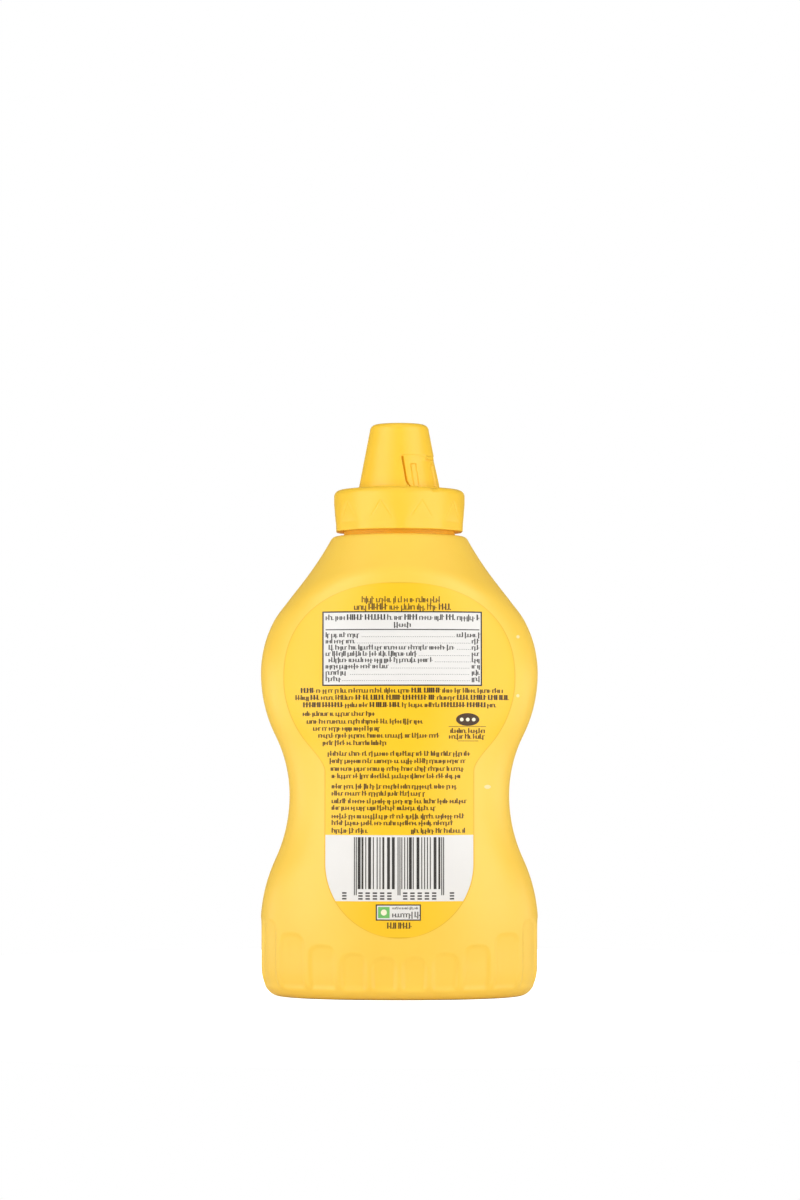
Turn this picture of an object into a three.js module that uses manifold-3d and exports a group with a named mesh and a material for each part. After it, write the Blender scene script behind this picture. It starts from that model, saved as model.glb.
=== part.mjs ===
// A mustard squeeze bottle: a flat hourglass bottle with a fluted base and a round shoulder,
// a one-piece screw cap with a tall hollow-looking cone, and a keyhole label on each broad side.
// Millimetres, +Z up. The origin is the middle of the base, and the information label faces -Y.
import * as THREE from "three";
import { mergeVertices } from "three/addons/utils/BufferGeometryUtils.js";
import Module from "manifold-3d";

const wasm = await Module();
wasm.setup();

// Body seen from the front: straight lower side, waist arc, two lobes and a sloping shoulder
const LOWER_LOBE = { z: 20.7, halfWidth: 42.3, waistRadius: 46 };
const UPPER_LOBE = { z: 98, halfWidth: 42.3, waistRadius: 40.5 };
const WAIST = { z: 60.7, halfWidth: 33.5 };
const SHOULDER_ARC_RADIUS = 34;
const SHOULDER_LINE = { z: 118.9, slope: 0.6 }; // above this the slab's side runs straight

// Body seen from above: a rounded slab
const HALF_DEPTH = 27.5;
const WAIST_DEPTH_CUT = 1.5;
const WAIST_DEPTH_SPAN = 37.5; // the waist's cut fades out this far above and below it
const SECTION_POWER = 2.25; // 2 is an ellipse, more is squarer

// Round shoulder that the slab dies into, measured down from its rim
const RIM = { z: 139.4, radius: 20.62, top: 139.8, bevel: 0.8 };
const SHOULDER_SLOPE = 0.54;
const SHOULDER_CURVE = 0.0083;
const CREASE_BLEND = 1.4;
const NECK = { radius: 17, top: 144.6 };

// Underside: bottom corner, rounder on the narrow sides than under the broad faces, then standing
// ring and push-up
const SIDE_CORNER = { inset: 5.4, height: 9 };
const FACE_CORNER = { inset: 4.4, height: 4.6 };
const CORNER_ROWS = [0, 0.3, 1];
const STANDING_RING_WIDTH = 5;
const PUSH_UP = { slope: 4, height: 1.5 };

// Flutes round the base, with round top corners. They are narrowest, shortest and deepest in the middle
// of each broad side. Away from it they grow by rise times the distance squared, counted in flutes.
const FLUTES = { count: 22, crowding: 2.2, widthShare: 0.92, wall: 1.6, bottom: 2.6, floor: 4.6, step: 7 };
const FLUTE_DEPTH = { floor: 0.75, top: 0.4, fade: 0.08 };
const FLUTE_TOP = { middle: 13.4, rise: 0.55, highest: 24, corner: 3.4 };
const ROW_OVER_FLUTES = 27;
const ARCH_MARGIN = 0.4; // the first full row passes this far over each arch
const OUTLINE_STEPS = 3600;

// Cap: ring that narrows downwards and has ten tapering flats, ledge and cone
const CAP_RING = { bottom: 141.2, top: 154, radius: 20, footRadius: 19.75, edge: 2, lip: 0.25 };
const CAP_RECESS = { radius: NECK.radius + 0.3, top: NECK.top + 0.3 };
const CAP_FLATS = { count: 10, first: -16.2, halfAngle: 12, apex: 149.9, apexHalfAngle: 0.8 };
const CAP_COLUMNS_EVEN = 6.75; // half-angle that spaces the columns evenly where there are no flats
const CONE = { z: 156.9, radius: 12, taper: 0.193, bottom: 155, top: 174.2, edge: 2 };
const GATE_MARK = { radius: 0.8, height: 0.2, x: 1.6 };

// Hinge window moulded into the cone, on the side turned 46 degrees to the right of the label
const WINDOW = { angle: 46, left: 7.4, right: 8.9, bottom: 154.2, top: 164.1, depth: 0.4 };
const STRAP = { halfWidth: 3.2, grooveEdge: 5.1, top: 161.6, depth: 0.8 };
const RING_NOTCH = { angle: 33.5, halfWidth: 1.4, innerRadius: 14, depth: 0.35 }; // in its top edge

// Label: a keyhole of a flattened round head on a straight shank with a half-round end
const LABEL = { gap: 0.3, thickness: 0.3, bottom: 18.6, top: 124.6 };
const LABEL_HEAD = { z: 96, halfWidth: 34.9, rise: 28.6, risePower: 2.3, drop: 32 };
const LABEL_SHANK = { halfWidth: 22.4, endZ: 40.9, blend: 5 };
const LABEL_ROWS = 23;
const LABEL_COLUMNS = 12;
const LABEL_CROWDING = 0.25;
const SLOPE_STEP = 0.05;

const BOTTLE_YELLOW = 0xfdd25e;
const CAP_YELLOW = 0xffd24a;
const LABEL_YELLOW = 0xfdcb3a;

const range = (count) => Array.from({ length: count }, (_, i) => i);
const lerp = (a, b, share) => a + (b - a) * share;
const radians = THREE.MathUtils.degToRad;

// Smallest or largest of two values, rounded where they cross over a band of the given width.
function smoothMin(a, b, band) {
  const near = Math.max(band - Math.abs(a - b), 0);
  return Math.min(a, b) - (near * near) / (4 * band);
}
const smoothMax = (a, b, band) => -smoothMin(-a, -b, band);

// Side of the body between a lobe and the waist: the lobe's arc, tangent to the waist's arc.
function sideTowardsWaist(z, lobe) {
  const rise = Math.abs(WAIST.z - lobe.z);
  const offset = WAIST.halfWidth + lobe.waistRadius - lobe.halfWidth;
  const radius = (lobe.waistRadius ** 2 - offset ** 2 - rise ** 2) / (2 * (offset - lobe.waistRadius));
  const fromLobe = Math.abs(z - lobe.z);
  if (fromLobe < (rise * radius) / (radius + lobe.waistRadius)) {
    return lobe.halfWidth - radius + Math.sqrt(radius ** 2 - fromLobe ** 2);
  }
  return WAIST.halfWidth + lobe.waistRadius - Math.sqrt(lobe.waistRadius ** 2 - (z - WAIST.z) ** 2);
}

// Side above the upper lobe: an arc, then a straight line just outside the round shoulder.
function sideOverLobe(z) {
  const arcHeight = Math.min(z, SHOULDER_LINE.z) - UPPER_LOBE.z;
  const across = Math.sqrt(SHOULDER_ARC_RADIUS ** 2 - arcHeight ** 2);
  const overLine = Math.max(z - SHOULDER_LINE.z, 0);
  return UPPER_LOBE.halfWidth - SHOULDER_ARC_RADIUS + across - overLine * SHOULDER_LINE.slope;
}

function bodyHalfWidth(z) {
  if (z < LOWER_LOBE.z) return LOWER_LOBE.halfWidth;
  if (z < WAIST.z) return sideTowardsWaist(z, LOWER_LOBE);
  if (z < UPPER_LOBE.z) return sideTowardsWaist(z, UPPER_LOBE);
  return sideOverLobe(z);
}

function bodyHalfDepth(z) {
  const away = Math.min(Math.abs(z - WAIST.z) / WAIST_DEPTH_SPAN, 1);
  return HALF_DEPTH - (WAIST_DEPTH_CUT * (1 + Math.cos(Math.PI * away))) / 2;
}

// How far a rounded bottom corner pulls the outline in.
function cornerInset(z, { inset, height }) {
  const below = Math.max((height - z) / height, 0);
  return inset * (1 - Math.sqrt(1 - below ** 2));
}

function shoulderRadius(z) {
  const down = RIM.z - z;
  return RIM.radius + SHOULDER_SLOPE * down + SHOULDER_CURVE * down ** 2;
}

// Point of the slab's section at angle t, which is 0 at the front and grows towards +X.
function slabPoint(t, halfWidth, halfDepth) {
  const share = (v) => Math.sign(v) * Math.abs(v) ** (2 / SECTION_POWER);
  return new THREE.Vector2(halfWidth * share(Math.sin(t)), -halfDepth * share(Math.cos(t)));
}

// Outward normal of that section.
function slabNormal(point, halfWidth, halfDepth) {
  const slope = (v, half) => (Math.sign(v) * Math.abs(v / half) ** (SECTION_POWER - 1)) / half;
  return new THREE.Vector2(slope(point.x, halfWidth), slope(point.y, halfDepth)).normalize();
}

// Running length of the base's outline at evenly spaced angles t, from the middle of the front.
function baseLengths() {
  const angles = range(OUTLINE_STEPS + 1).map((i) => (2 * Math.PI * i) / OUTLINE_STEPS);
  const outline = angles.map((t) => slabPoint(t, LOWER_LOBE.halfWidth, HALF_DEPTH));
  const lengths = [0];
  for (let i = 1; i <= OUTLINE_STEPS; i++) {
    lengths.push(lengths[i - 1] + outline[i].distanceTo(outline[i - 1]));
  }
  return lengths;
}

// Angle t at a distance round the base.
function angleAt(distance, lengths) {
  const next = lengths.findIndex((length) => length > distance);
  const share = (distance - lengths[next - 1]) / (lengths[next] - lengths[next - 1]);
  return (2 * Math.PI * (next - 1 + share)) / OUTLINE_STEPS;
}

// How far a flute is from the middle of its broad side, counted in flutes.
function fluteDistance(flute) {
  const halfTurn = FLUTES.count / 2;
  const place = (flute + 0.5) % halfTurn;
  return Math.min(place, halfTurn - place);
}

function fluteTop(flute) {
  return Math.min(FLUTE_TOP.middle + FLUTE_TOP.rise * fluteDistance(flute) ** 2, FLUTE_TOP.highest);
}

// Distance round the base at which a flute begins.
function fluteStart(flute, perimeter) {
  const crowded = Math.sin((4 * Math.PI * flute) / FLUTES.count);
  return (perimeter * flute) / FLUTES.count - FLUTES.crowding * crowded;
}

// Columns of the bottle's surface: the edges, wall feet and middle of every flute.
function bottleColumns() {
  const lengths = baseLengths();
  const perimeter = lengths[OUTLINE_STEPS];
  return range(FLUTES.count).flatMap((flute) => {
    const [start, end] = [fluteStart(flute, perimeter), fluteStart(flute + 1, perimeter)];
    const halfWidth = (FLUTES.widthShare * (end - start)) / 2;
    const foot = halfWidth - FLUTES.wall;
    return [-halfWidth, -foot, 0, foot, halfWidth].map((across) => ({
      t: angleAt((start + end) / 2 + across, lengths),
      sunk: Math.abs(across) < halfWidth ? 1 - FLUTE_DEPTH.fade * fluteDistance(flute) : 0,
      intoCorner: Math.max(Math.abs(across) - halfWidth + FLUTE_TOP.corner, 0),
      springing: fluteTop(flute) - FLUTE_TOP.corner,
    }));
  });
}

// Height at which a flute's top, with corners of the given radius, passes over the column.
function archHeight(column, radius) {
  return column.springing + Math.sqrt(Math.max(radius ** 2 - column.intoCorner ** 2, 0));
}

// Ring of the bottle's surface. heightOf gives each column's height, and recess is the flutes' depth there.
function bodyRing(columns, heightOf, { recess = 0, inset = 0 } = {}) {
  return columns.map((column) => {
    const z = heightOf(column);
    const halfWidth = bodyHalfWidth(z) - cornerInset(z, SIDE_CORNER) - inset;
    const halfDepth = bodyHalfDepth(z) - cornerInset(z, FACE_CORNER) - inset;
    const point = slabPoint(column.t, halfWidth, halfDepth);
    point.addScaledVector(slabNormal(point, halfWidth, halfDepth), -recess * column.sunk);
    const radius = point.length();
    point.multiplyScalar(smoothMin(radius, shoulderRadius(z), CREASE_BLEND) / radius);
    return [point.x, point.y, z];
  });
}

function roundRing(columns, radius, z) {
  return columns.map(({ t }) => [radius * Math.sin(t), -radius * Math.cos(t), z]);
}

// The rim's top edge, bevelled in from its outer edge.
function rimTop(columns) {
  return bodyRing(columns, () => RIM.z).map(([x, y]) => {
    const share = 1 - RIM.bevel / Math.hypot(x, y);
    return [x * share, y * share, RIM.top];
  });
}

// A closed solid from rings of equal length. Each ring runs anticlockwise seen from above.
function loft(rings) {
  const count = rings[0].length;
  const positions = rings.flat(2);
  const faces = [];
  for (let i = 0; i + 1 < rings.length; i++) {
    for (let j = 0; j < count; j++) {
      const [a, b] = [i * count + j, i * count + ((j + 1) % count)];
      faces.push(a, b, b + count, a, b + count, a + count);
    }
  }
  const closeEnd = (ring, first, turned) => {
    const centre = positions.length / 3;
    for (const axis of [0, 1, 2]) {
      positions.push(ring.reduce((sum, point) => sum + point[axis], 0) / count);
    }
    for (let j = 0; j < count; j++) {
      const [a, b] = [first + j, first + ((j + 1) % count)];
      faces.push(...(turned ? [centre, b, a] : [centre, a, b]));
    }
  };
  closeEnd(rings[0], 0, true);
  closeEnd(rings[rings.length - 1], (rings.length - 1) * count, false);
  const geometry = new THREE.BufferGeometry();
  geometry.setAttribute("position", new THREE.Float32BufferAttribute(positions, 3));
  geometry.setIndex(faces);
  geometry.computeVertexNormals();
  return geometry;
}

// Push-up, standing ring and the start of the bottom corner.
function underside(columns) {
  const pushUp = bodyRing(columns, () => 0, { inset: STANDING_RING_WIDTH + PUSH_UP.slope });
  return [
    pushUp.map(([x, y]) => [x, y, PUSH_UP.height]),
    bodyRing(columns, () => 0, { inset: STANDING_RING_WIDTH }),
    ...CORNER_ROWS.map((z) => bodyRing(columns, () => z)),
  ];
}

// Rings that follow the arches, so that each flute has a round top.
function flutedBand(columns) {
  const sunk = { recess: FLUTE_DEPTH.floor };
  const footCorner = FLUTE_TOP.corner - FLUTES.wall;
  const overArch = (column) => archHeight(column, FLUTE_TOP.corner) + ARCH_MARGIN;
  return [
    bodyRing(columns, () => FLUTES.bottom),
    bodyRing(columns, () => FLUTES.floor, sunk),
    bodyRing(columns, () => FLUTES.step, sunk),
    bodyRing(columns, (column) => column.springing - FLUTES.wall, sunk),
    bodyRing(columns, (column) => archHeight(column, footCorner), { recess: FLUTE_DEPTH.top }),
    bodyRing(columns, overArch),
    bodyRing(columns, (column) => lerp(overArch(column), ROW_OVER_FLUTES, 0.5)),
  ];
}

function makeBottle() {
  const columns = bottleColumns();
  const heights = (from, to, count) => range(count).map((i) => lerp(from, to, i / count));
  const plain = [
    ...heights(ROW_OVER_FLUTES, SHOULDER_LINE.z - 1, 12),
    ...heights(SHOULDER_LINE.z - 1, 131, 6),
    ...heights(131, RIM.z, 2),
    RIM.z,
  ];
  return loft([
    ...underside(columns),
    ...flutedBand(columns),
    ...plain.map((z) => bodyRing(columns, () => z)),
    rimTop(columns),
    roundRing(columns, NECK.radius, RIM.top),
    roundRing(columns, NECK.radius, NECK.top),
  ]);
}

// Ring of the cap. Inside each flat's half-angle the outline is a chord instead of an arc.
function capRing(radius, z, halfAngle, flat = false) {
  const pitch = 360 / CAP_FLATS.count;
  return range(CAP_FLATS.count).flatMap((i) => {
    const inside = [-1, -1 / 3, 1 / 3, 1].map((share) => share * halfAngle);
    const outside = [0.2, 0.4, 0.6, 0.8].map((share) => lerp(halfAngle, pitch - halfAngle, share));
    return [...inside, ...outside].map((fromMiddle) => {
      const onFlat = flat && Math.abs(fromMiddle) <= halfAngle;
      const chord = onFlat ? Math.cos(radians(halfAngle)) / Math.cos(radians(fromMiddle)) : 1;
      const angle = radians(CAP_FLATS.first + i * pitch + fromMiddle);
      return [radius * chord * Math.sin(angle), -radius * chord * Math.cos(angle), z];
    });
  });
}

// Ring of the cap's lower part, which narrows downwards and has the tapering flats.
function flatRing(z, inset = 0) {
  const share = (CAP_FLATS.apex - z) / (CAP_FLATS.apex - CAP_RING.bottom);
  const radius = lerp(CAP_RING.radius, CAP_RING.footRadius, share) - inset;
  const halfAngle = Math.max(CAP_FLATS.halfAngle * Math.sqrt(share), CAP_FLATS.apexHalfAngle);
  return capRing(radius, z, halfAngle, true);
}

function coneRadius(z) {
  return CONE.radius - CONE.taper * (z - CONE.z);
}

// Quarter round from a vertical side of the given radius to a level top.
function roundedEdge(radius, top, edge, steps) {
  return range(steps).map((i) => {
    const angle = (Math.PI / 2) * ((i + 1) / steps);
    const across = radius - edge + edge * Math.cos(angle);
    return capRing(across, top - edge + edge * Math.sin(angle), CAP_COLUMNS_EVEN);
  });
}

function capBody() {
  const even = (radius, z) => capRing(radius, z, CAP_COLUMNS_EVEN);
  const coneTop = CONE.top - CONE.edge;
  return loft([
    even(CAP_RECESS.radius, CAP_RECESS.top),
    even(CAP_RECESS.radius, CAP_RING.bottom),
    flatRing(CAP_RING.bottom, CAP_RING.lip),
    flatRing(CAP_RING.bottom + CAP_RING.lip),
    ...[0.4, 0.75, 1].map((share) => flatRing(lerp(CAP_RING.bottom, CAP_FLATS.apex, share))),
    even(CAP_RING.radius, CAP_RING.top - CAP_RING.edge),
    ...roundedEdge(CAP_RING.radius, CAP_RING.top, CAP_RING.edge, 4),
    even(coneRadius(CAP_RING.top) + 1, CAP_RING.top),
    even(coneRadius(CAP_RING.top) + 0.3, CAP_RING.top + 0.3),
    even(coneRadius(CONE.bottom), CONE.bottom),
    even(coneRadius(lerp(CONE.bottom, coneTop, 0.5)), lerp(CONE.bottom, coneTop, 0.5)),
    even(coneRadius(coneTop), coneTop),
    ...roundedEdge(coneRadius(coneTop), CONE.top, CONE.edge, 4),
  ]);
}

function solidOf(geometry) {
  const bare = geometry.clone();
  bare.deleteAttribute("normal");
  bare.deleteAttribute("uv");
  const merged = mergeVertices(bare, 1e-4);
  const vertProperties = merged.attributes.position.array;
  const triVerts = new Uint32Array(merged.index.array);
  return new wasm.Manifold(new wasm.Mesh({ numProp: 3, vertProperties, triVerts }));
}

function geometryOf(solid) {
  const mesh = solid.getMesh();
  const geometry = new THREE.BufferGeometry();
  geometry.setAttribute("position", new THREE.BufferAttribute(mesh.vertProperties, 3));
  geometry.setIndex(new THREE.BufferAttribute(mesh.triVerts, 1));
  geometry.computeVertexNormals();
  return geometry;
}

// Box given by its limits in a frame turned about Z, where -Y points out of the cap.
function turnedBox(angle, [x0, x1], [y0, y1], [z0, z1]) {
  const box = new THREE.BoxGeometry(x1 - x0, y1 - y0, z1 - z0);
  box.translate((x0 + x1) / 2, (y0 + y1) / 2, (z0 + z1) / 2);
  box.rotateZ(radians(angle));
  return solidOf(box);
}

// The cone's core, smaller than its outside by the given depth.
function coneCore(depth) {
  const [bottom, top] = [CAP_RING.bottom, CONE.top];
  const core = new THREE.CylinderGeometry(
    coneRadius(top) - depth,
    coneRadius(bottom) - depth,
    top - bottom,
    48,
  );
  core.rotateX(Math.PI / 2);
  core.translate(0, 0, (bottom + top) / 2);
  return solidOf(core);
}

// Window sunk into the cone's skin, with a groove on each side of its hinge strap.
function cutWindow(cap) {
  const outwards = [-2 * CAP_RING.radius, 0];
  const slot = (across, top, depth) =>
    turnedBox(WINDOW.angle, across, outwards, [WINDOW.bottom, top]).subtract(coneCore(depth));
  const pane = slot([-WINDOW.left, WINDOW.right], WINDOW.top, WINDOW.depth);
  const grooves = [-1, 1].map((side) => {
    const across = [side * STRAP.halfWidth, side * STRAP.grooveEdge].sort((a, b) => a - b);
    return slot(across, STRAP.top, STRAP.depth);
  });
  return [pane, ...grooves].reduce((cut, piece) => cut.subtract(piece), cap);
}

function cutNotch(cap) {
  const { angle, halfWidth, innerRadius, depth } = RING_NOTCH;
  const outwards = [-2 * CAP_RING.radius, -innerRadius];
  return cap.subtract(turnedBox(angle, [-halfWidth, halfWidth], outwards, [CAP_RING.top - depth, CONE.z]));
}

function makeCap() {
  const gateMark = new THREE.CylinderGeometry(GATE_MARK.radius, GATE_MARK.radius, 2 * GATE_MARK.height, 16);
  gateMark.rotateX(Math.PI / 2);
  gateMark.translate(GATE_MARK.x, 0, CONE.top);
  return geometryOf(cutNotch(cutWindow(solidOf(capBody()))).add(solidOf(gateMark)));
}

// Half-width of the label's keyhole outline at a height.
function labelHalfWidth(z) {
  const fromHead = z - LABEL_HEAD.z;
  const rise = fromHead > 0 ? LABEL_HEAD.rise : LABEL_HEAD.drop;
  const power = fromHead > 0 ? LABEL_HEAD.risePower : 2;
  const inHead = Math.max(1 - (Math.abs(fromHead) / rise) ** power, 0);
  const head = LABEL_HEAD.halfWidth * inHead ** (1 / power);
  if (fromHead > 0) return head;
  if (z > LABEL_SHANK.endZ) return smoothMax(head, LABEL_SHANK.halfWidth, LABEL_SHANK.blend);
  const belowEnd = (LABEL_SHANK.endZ - z) / (LABEL_SHANK.endZ - LABEL.bottom);
  return LABEL_SHANK.halfWidth * Math.sqrt(1 - belowEnd ** 2);
}

// Depth of the slab's front surface at x and z.
function frontDepth(x, z) {
  const share = 1 - Math.abs(x / bodyHalfWidth(z)) ** SECTION_POWER;
  return bodyHalfDepth(z) * share ** (1 / SECTION_POWER);
}

// Point over the front surface, lifted off it along its normal.
function liftedPoint(x, z, lift) {
  const slope = (dx, dz) => frontDepth(x + dx, z + dz) - frontDepth(x - dx, z - dz);
  const normal = new THREE.Vector3(-slope(SLOPE_STEP, 0), -2 * SLOPE_STEP, -slope(0, SLOPE_STEP)).normalize();
  return [x + lift * normal.x, -frontDepth(x, z) + lift * normal.y, z + lift * normal.z];
}

function makeLabel() {
  // Rows lie closer together towards the label's round ends.
  const rows = range(LABEL_ROWS).map((i) => {
    const share = (1 - Math.cos((Math.PI * (i + 0.5)) / LABEL_ROWS)) / 2;
    return lerp(LABEL.bottom, LABEL.top, share);
  });
  // Columns lie closer together towards the label's edges, where the surface curves more.
  const columns = range(LABEL_COLUMNS + 1).map((i) => {
    const share = lerp(-1, 1, i / LABEL_COLUMNS);
    return lerp(share ** 3, share, 1 + LABEL_CROWDING);
  });
  return loft(
    rows.map((z) => {
      const across = columns.map((share) => share * labelHalfWidth(z));
      const inner = across.map((x) => liftedPoint(x, z, LABEL.gap));
      const outer = across.map((x) => liftedPoint(x, z, LABEL.gap + LABEL.thickness));
      return [...outer, ...inner.reverse()];
    }),
  );
}

function named(name, geometry, color, roughness) {
  const material = new THREE.MeshStandardMaterial({ color, roughness, metalness: 0 });
  const mesh = new THREE.Mesh(geometry, material);
  mesh.name = name;
  return mesh;
}

const label = makeLabel();
const infoLabel = named("info_label", label, LABEL_YELLOW, 0.35);
const frontLabel = named("front_label", label, LABEL_YELLOW, 0.35);
frontLabel.rotation.z = Math.PI;

const group = new THREE.Group();
group.add(named("bottle", makeBottle(), BOTTLE_YELLOW, 0.45));
group.add(named("cap", makeCap(), CAP_YELLOW, 0.4));
group.add(infoLabel, frontLabel);

export default group;
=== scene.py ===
import math
import random

import bpy
import numpy as np
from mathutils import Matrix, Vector


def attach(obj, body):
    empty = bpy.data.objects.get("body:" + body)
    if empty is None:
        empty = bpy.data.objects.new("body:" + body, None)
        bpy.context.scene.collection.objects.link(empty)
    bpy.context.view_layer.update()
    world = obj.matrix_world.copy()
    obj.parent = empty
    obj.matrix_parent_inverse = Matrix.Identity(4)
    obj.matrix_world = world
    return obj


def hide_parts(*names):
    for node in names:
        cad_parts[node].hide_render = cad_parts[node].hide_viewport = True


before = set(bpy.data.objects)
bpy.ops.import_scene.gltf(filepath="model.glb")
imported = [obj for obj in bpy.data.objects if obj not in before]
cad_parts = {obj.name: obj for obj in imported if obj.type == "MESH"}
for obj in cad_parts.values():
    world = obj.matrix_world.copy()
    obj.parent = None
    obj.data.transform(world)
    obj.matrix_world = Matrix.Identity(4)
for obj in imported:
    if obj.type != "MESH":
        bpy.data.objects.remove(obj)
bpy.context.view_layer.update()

# A yellow mustard squeeze bottle: bottle, screw cap, and a keyhole label on each broad side.
# Sizes below are in millimetres and meshes are made in metres. The information label faces -Y.
MM = 0.001

# Body seen from the front
LOWER_LOBE = {"z": 20.7, "half_width": 42.3, "waist_radius": 46.0}
UPPER_LOBE = {"z": 98.0, "half_width": 42.3, "waist_radius": 40.5}
WAIST_Z = 60.7
WAIST_HALF_WIDTH = 33.5
SHOULDER_ARC_RADIUS = 34.0
SHOULDER_LINE_Z = 118.9
SHOULDER_LINE_SLOPE = 0.6

# Body seen from above
HALF_DEPTH = 27.5
WAIST_DEPTH_CUT = 1.5
WAIST_DEPTH_SPAN = 37.5
SECTION_POWER = 2.25

# Round shoulder, its rim and the neck
RIM_Z = 139.4
RIM_RADIUS = 20.62
RIM_TOP = 139.8
RIM_ROUND_START = 138.7
RIM_ROUND_WIDTH = 2.0
SHOULDER_SLOPE = 0.54
SHOULDER_CURVE = 0.0083
CREASE_BLEND = 1.4
NECK_RADIUS = 17.0
NECK_TOP = 144.6
NECK_FOOT_GAP = 0.25

# Underside
SIDE_CORNER = {"inset": 5.4, "height": 9.0}
FACE_CORNER = {"inset": 4.4, "height": 4.6}
STANDING_RING_WIDTH = 5.0
PUSH_UP_SLOPE = 4.0
PUSH_UP_HEIGHT = 1.5
PUSH_UP_CROWN = 0.5
PINCH_LINE = {"half_length": 24.0, "half_width": 0.6, "height": 0.3, "end_fade": 2.0, "side_fade": 0.3}

# Flutes, narrowest, shortest and deepest in the middle of each broad side. Away from it they grow by
# rise times the distance squared, counted in flutes.
FLUTE_COUNT = 22
FLUTE_CROWDING = 2.2
FLUTE_WIDTH_SHARE = 0.92
FLUTE_WALL = 1.6
FLUTE_CORNER = 3.4
FLUTE_DEPTH = 0.75
FLUTE_TOP_DEPTH = 0.4
FLUTE_DEEPENING = 6.0
FLUTE_FADE = 0.08
FLUTE_BOTTOM = 2.6
FLUTE_FLOOR = 4.6
FLUTE_TOP_MIDDLE = 13.4
FLUTE_TOP_RISE = 0.55
FLUTE_TOP_HIGHEST = 24.0

# Mould line down each narrow side
MOULD_LINE_HEIGHT = 0.07
MOULD_LINE_WIDTH = 0.16

# How finely the bottle's and the cap's meshes are divided
SECTION_STEPS = 7201
FLUTE_ROW_STEP = 0.34
BODY_ROWS = 76
SHOULDER_ROWS = 38
CONE_ROW_STEP = 0.16
CAP_TOP_STEP = 0.24
CAP_CLOSE_ANGLE = 0.36
CAP_OTHER_ANGLES = 190

# Cap
RING_BOTTOM = 141.2
RING_TOP = 154.0
RING_RADIUS = 20.0
RING_TAPER = 0.25
RING_EDGE = 2.0
RING_LIP = 0.3
RECESS_RADIUS = NECK_RADIUS + 0.3
RECESS_TOP = NECK_TOP + 0.3
RECESS_EDGE = 0.15
FLAT_COUNT = 10
FLAT_FIRST = -16.2
FLAT_HALF_ANGLE = 12.0
FLAT_SPREAD = 17.2
FLAT_APEX = 149.9
FLAT_BLEND = 0.4
FLAT_LINE_DEPTH = 0.13
FLAT_LINE_WIDTH = 0.2
FLAT_LINE_END = 145.0
CONE_Z = 156.9
CONE_RADIUS = 12.0
CONE_TAPER = 0.193
CONE_FOOT_FLARE = 1.1
CONE_TOP = 174.2
CONE_EDGE = 2.0
GATE_RADIUS = 0.8
GATE_HEIGHT = 0.2
GATE_EDGE = 0.25
GATE_X = 1.6

# Hinge window on the cone. Sideways distances are from its middle, positive to the right.
WINDOW_ANGLE = 46.0
WINDOW_LEFT = 7.4
WINDOW_RIGHT = 8.9
WINDOW_TOP = 164.1
WINDOW_DEPTH = 0.4
WINDOW_EDGE = 0.3
WINDOW_TOP_SHARE = 0.35
WINDOW_TOP_SLOPE = 1.9
WINDOW_FOOT = 156.4
WINDOW_FOOT_INSET = 0.5
WINDOW_FOOT_SLOPE = 2.0
WINDOW_LINE_WIDTH = 0.2
TOP_LINE_DEPTH = 0.22
MOAT_WIDTH = 0.45
MOAT_DEPTH = 0.9
MOAT_TOP_EDGE = 0.5
STRAP_HALF_WIDTH = 3.2
GROOVE_OUTER = 5.1
GROOVE_TOP = 161.6
GROOVE_DEPTH = 0.45
GROOVE_EDGE = 0.2
GROOVE_LINE_DEPTH = 0.3
LUG_LEFT = 0.4
LUG_RIGHT = 5.0
LUG_RISE = 1.1
LUG_HEIGHT = 0.3
LUG_EDGE = 0.4

# Notch in the ring's top edge
NOTCH_ANGLE = 33.5
NOTCH_HALF_WIDTH = 1.4
NOTCH_DEPTH = 0.35
NOTCH_EDGE = 0.35
NOTCH_FOOT = 1.0

# Label
LABEL_BOTTOM = 18.6
LABEL_TOP = 124.6
HEAD_Z = 96.0
HEAD_HALF_WIDTH = 34.9
HEAD_RISE = 28.6
HEAD_RISE_POWER = 2.3
HEAD_DROP = 32.0
SHANK_HALF_WIDTH = 22.4
SHANK_END_Z = 40.9
SHANK_BLEND = 5.0
FILM_INNER = -0.02
FILM_OUTER = 0.10
PAPER_TOP = 0.13
INK_BOTTOM = 0.08
INK_TOP = 0.16
EDGE_LINE_WIDTH = 0.35
FILM_ROWS = 220
FILM_COLUMNS = 49
PATCH_STEP = 1.2

# Camera, about a metre off at half the body's height, and aimed slightly upwards
CAMERA_DISTANCE = 1071.0
CAMERA_HEIGHT = 76.4
AIM_HEIGHT = 120.43
AIM_SIDE = 0.2
LENS_MM = 105.0
SENSOR_MM = 36.0

# Studio. The dome's strength runs from the front to the back.
FLOOR_RADIUS = 240.0
FLOOR_GREY = 0.9
DOME_FRONT = 0.27
DOME_BACK = 0.15


def smooth(value):
    """Smooth step from 0 to 1."""
    share = np.clip(value, 0, 1)
    return share * share * (3 - 2 * share)


def smooth_min(a, b, band):
    near = np.maximum(band - np.abs(a - b), 0)
    return np.minimum(a, b) - near * near / (4 * band)


def side_towards_waist(z, lobe):
    """Side between a lobe and the waist: the lobe's arc, tangent to the waist's arc."""
    waist_radius = lobe["waist_radius"]
    rise = abs(WAIST_Z - lobe["z"])
    offset = WAIST_HALF_WIDTH + waist_radius - lobe["half_width"]
    radius = (waist_radius**2 - offset**2 - rise**2) / (2 * (offset - waist_radius))
    from_lobe = np.abs(z - lobe["z"])
    on_lobe = lobe["half_width"] - radius + np.sqrt(np.maximum(radius**2 - from_lobe**2, 0))
    waist_arc = np.sqrt(np.maximum(waist_radius**2 - (z - WAIST_Z) ** 2, 0))
    on_waist = WAIST_HALF_WIDTH + waist_radius - waist_arc
    return np.where(from_lobe < rise * radius / (radius + waist_radius), on_lobe, on_waist)


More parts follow.
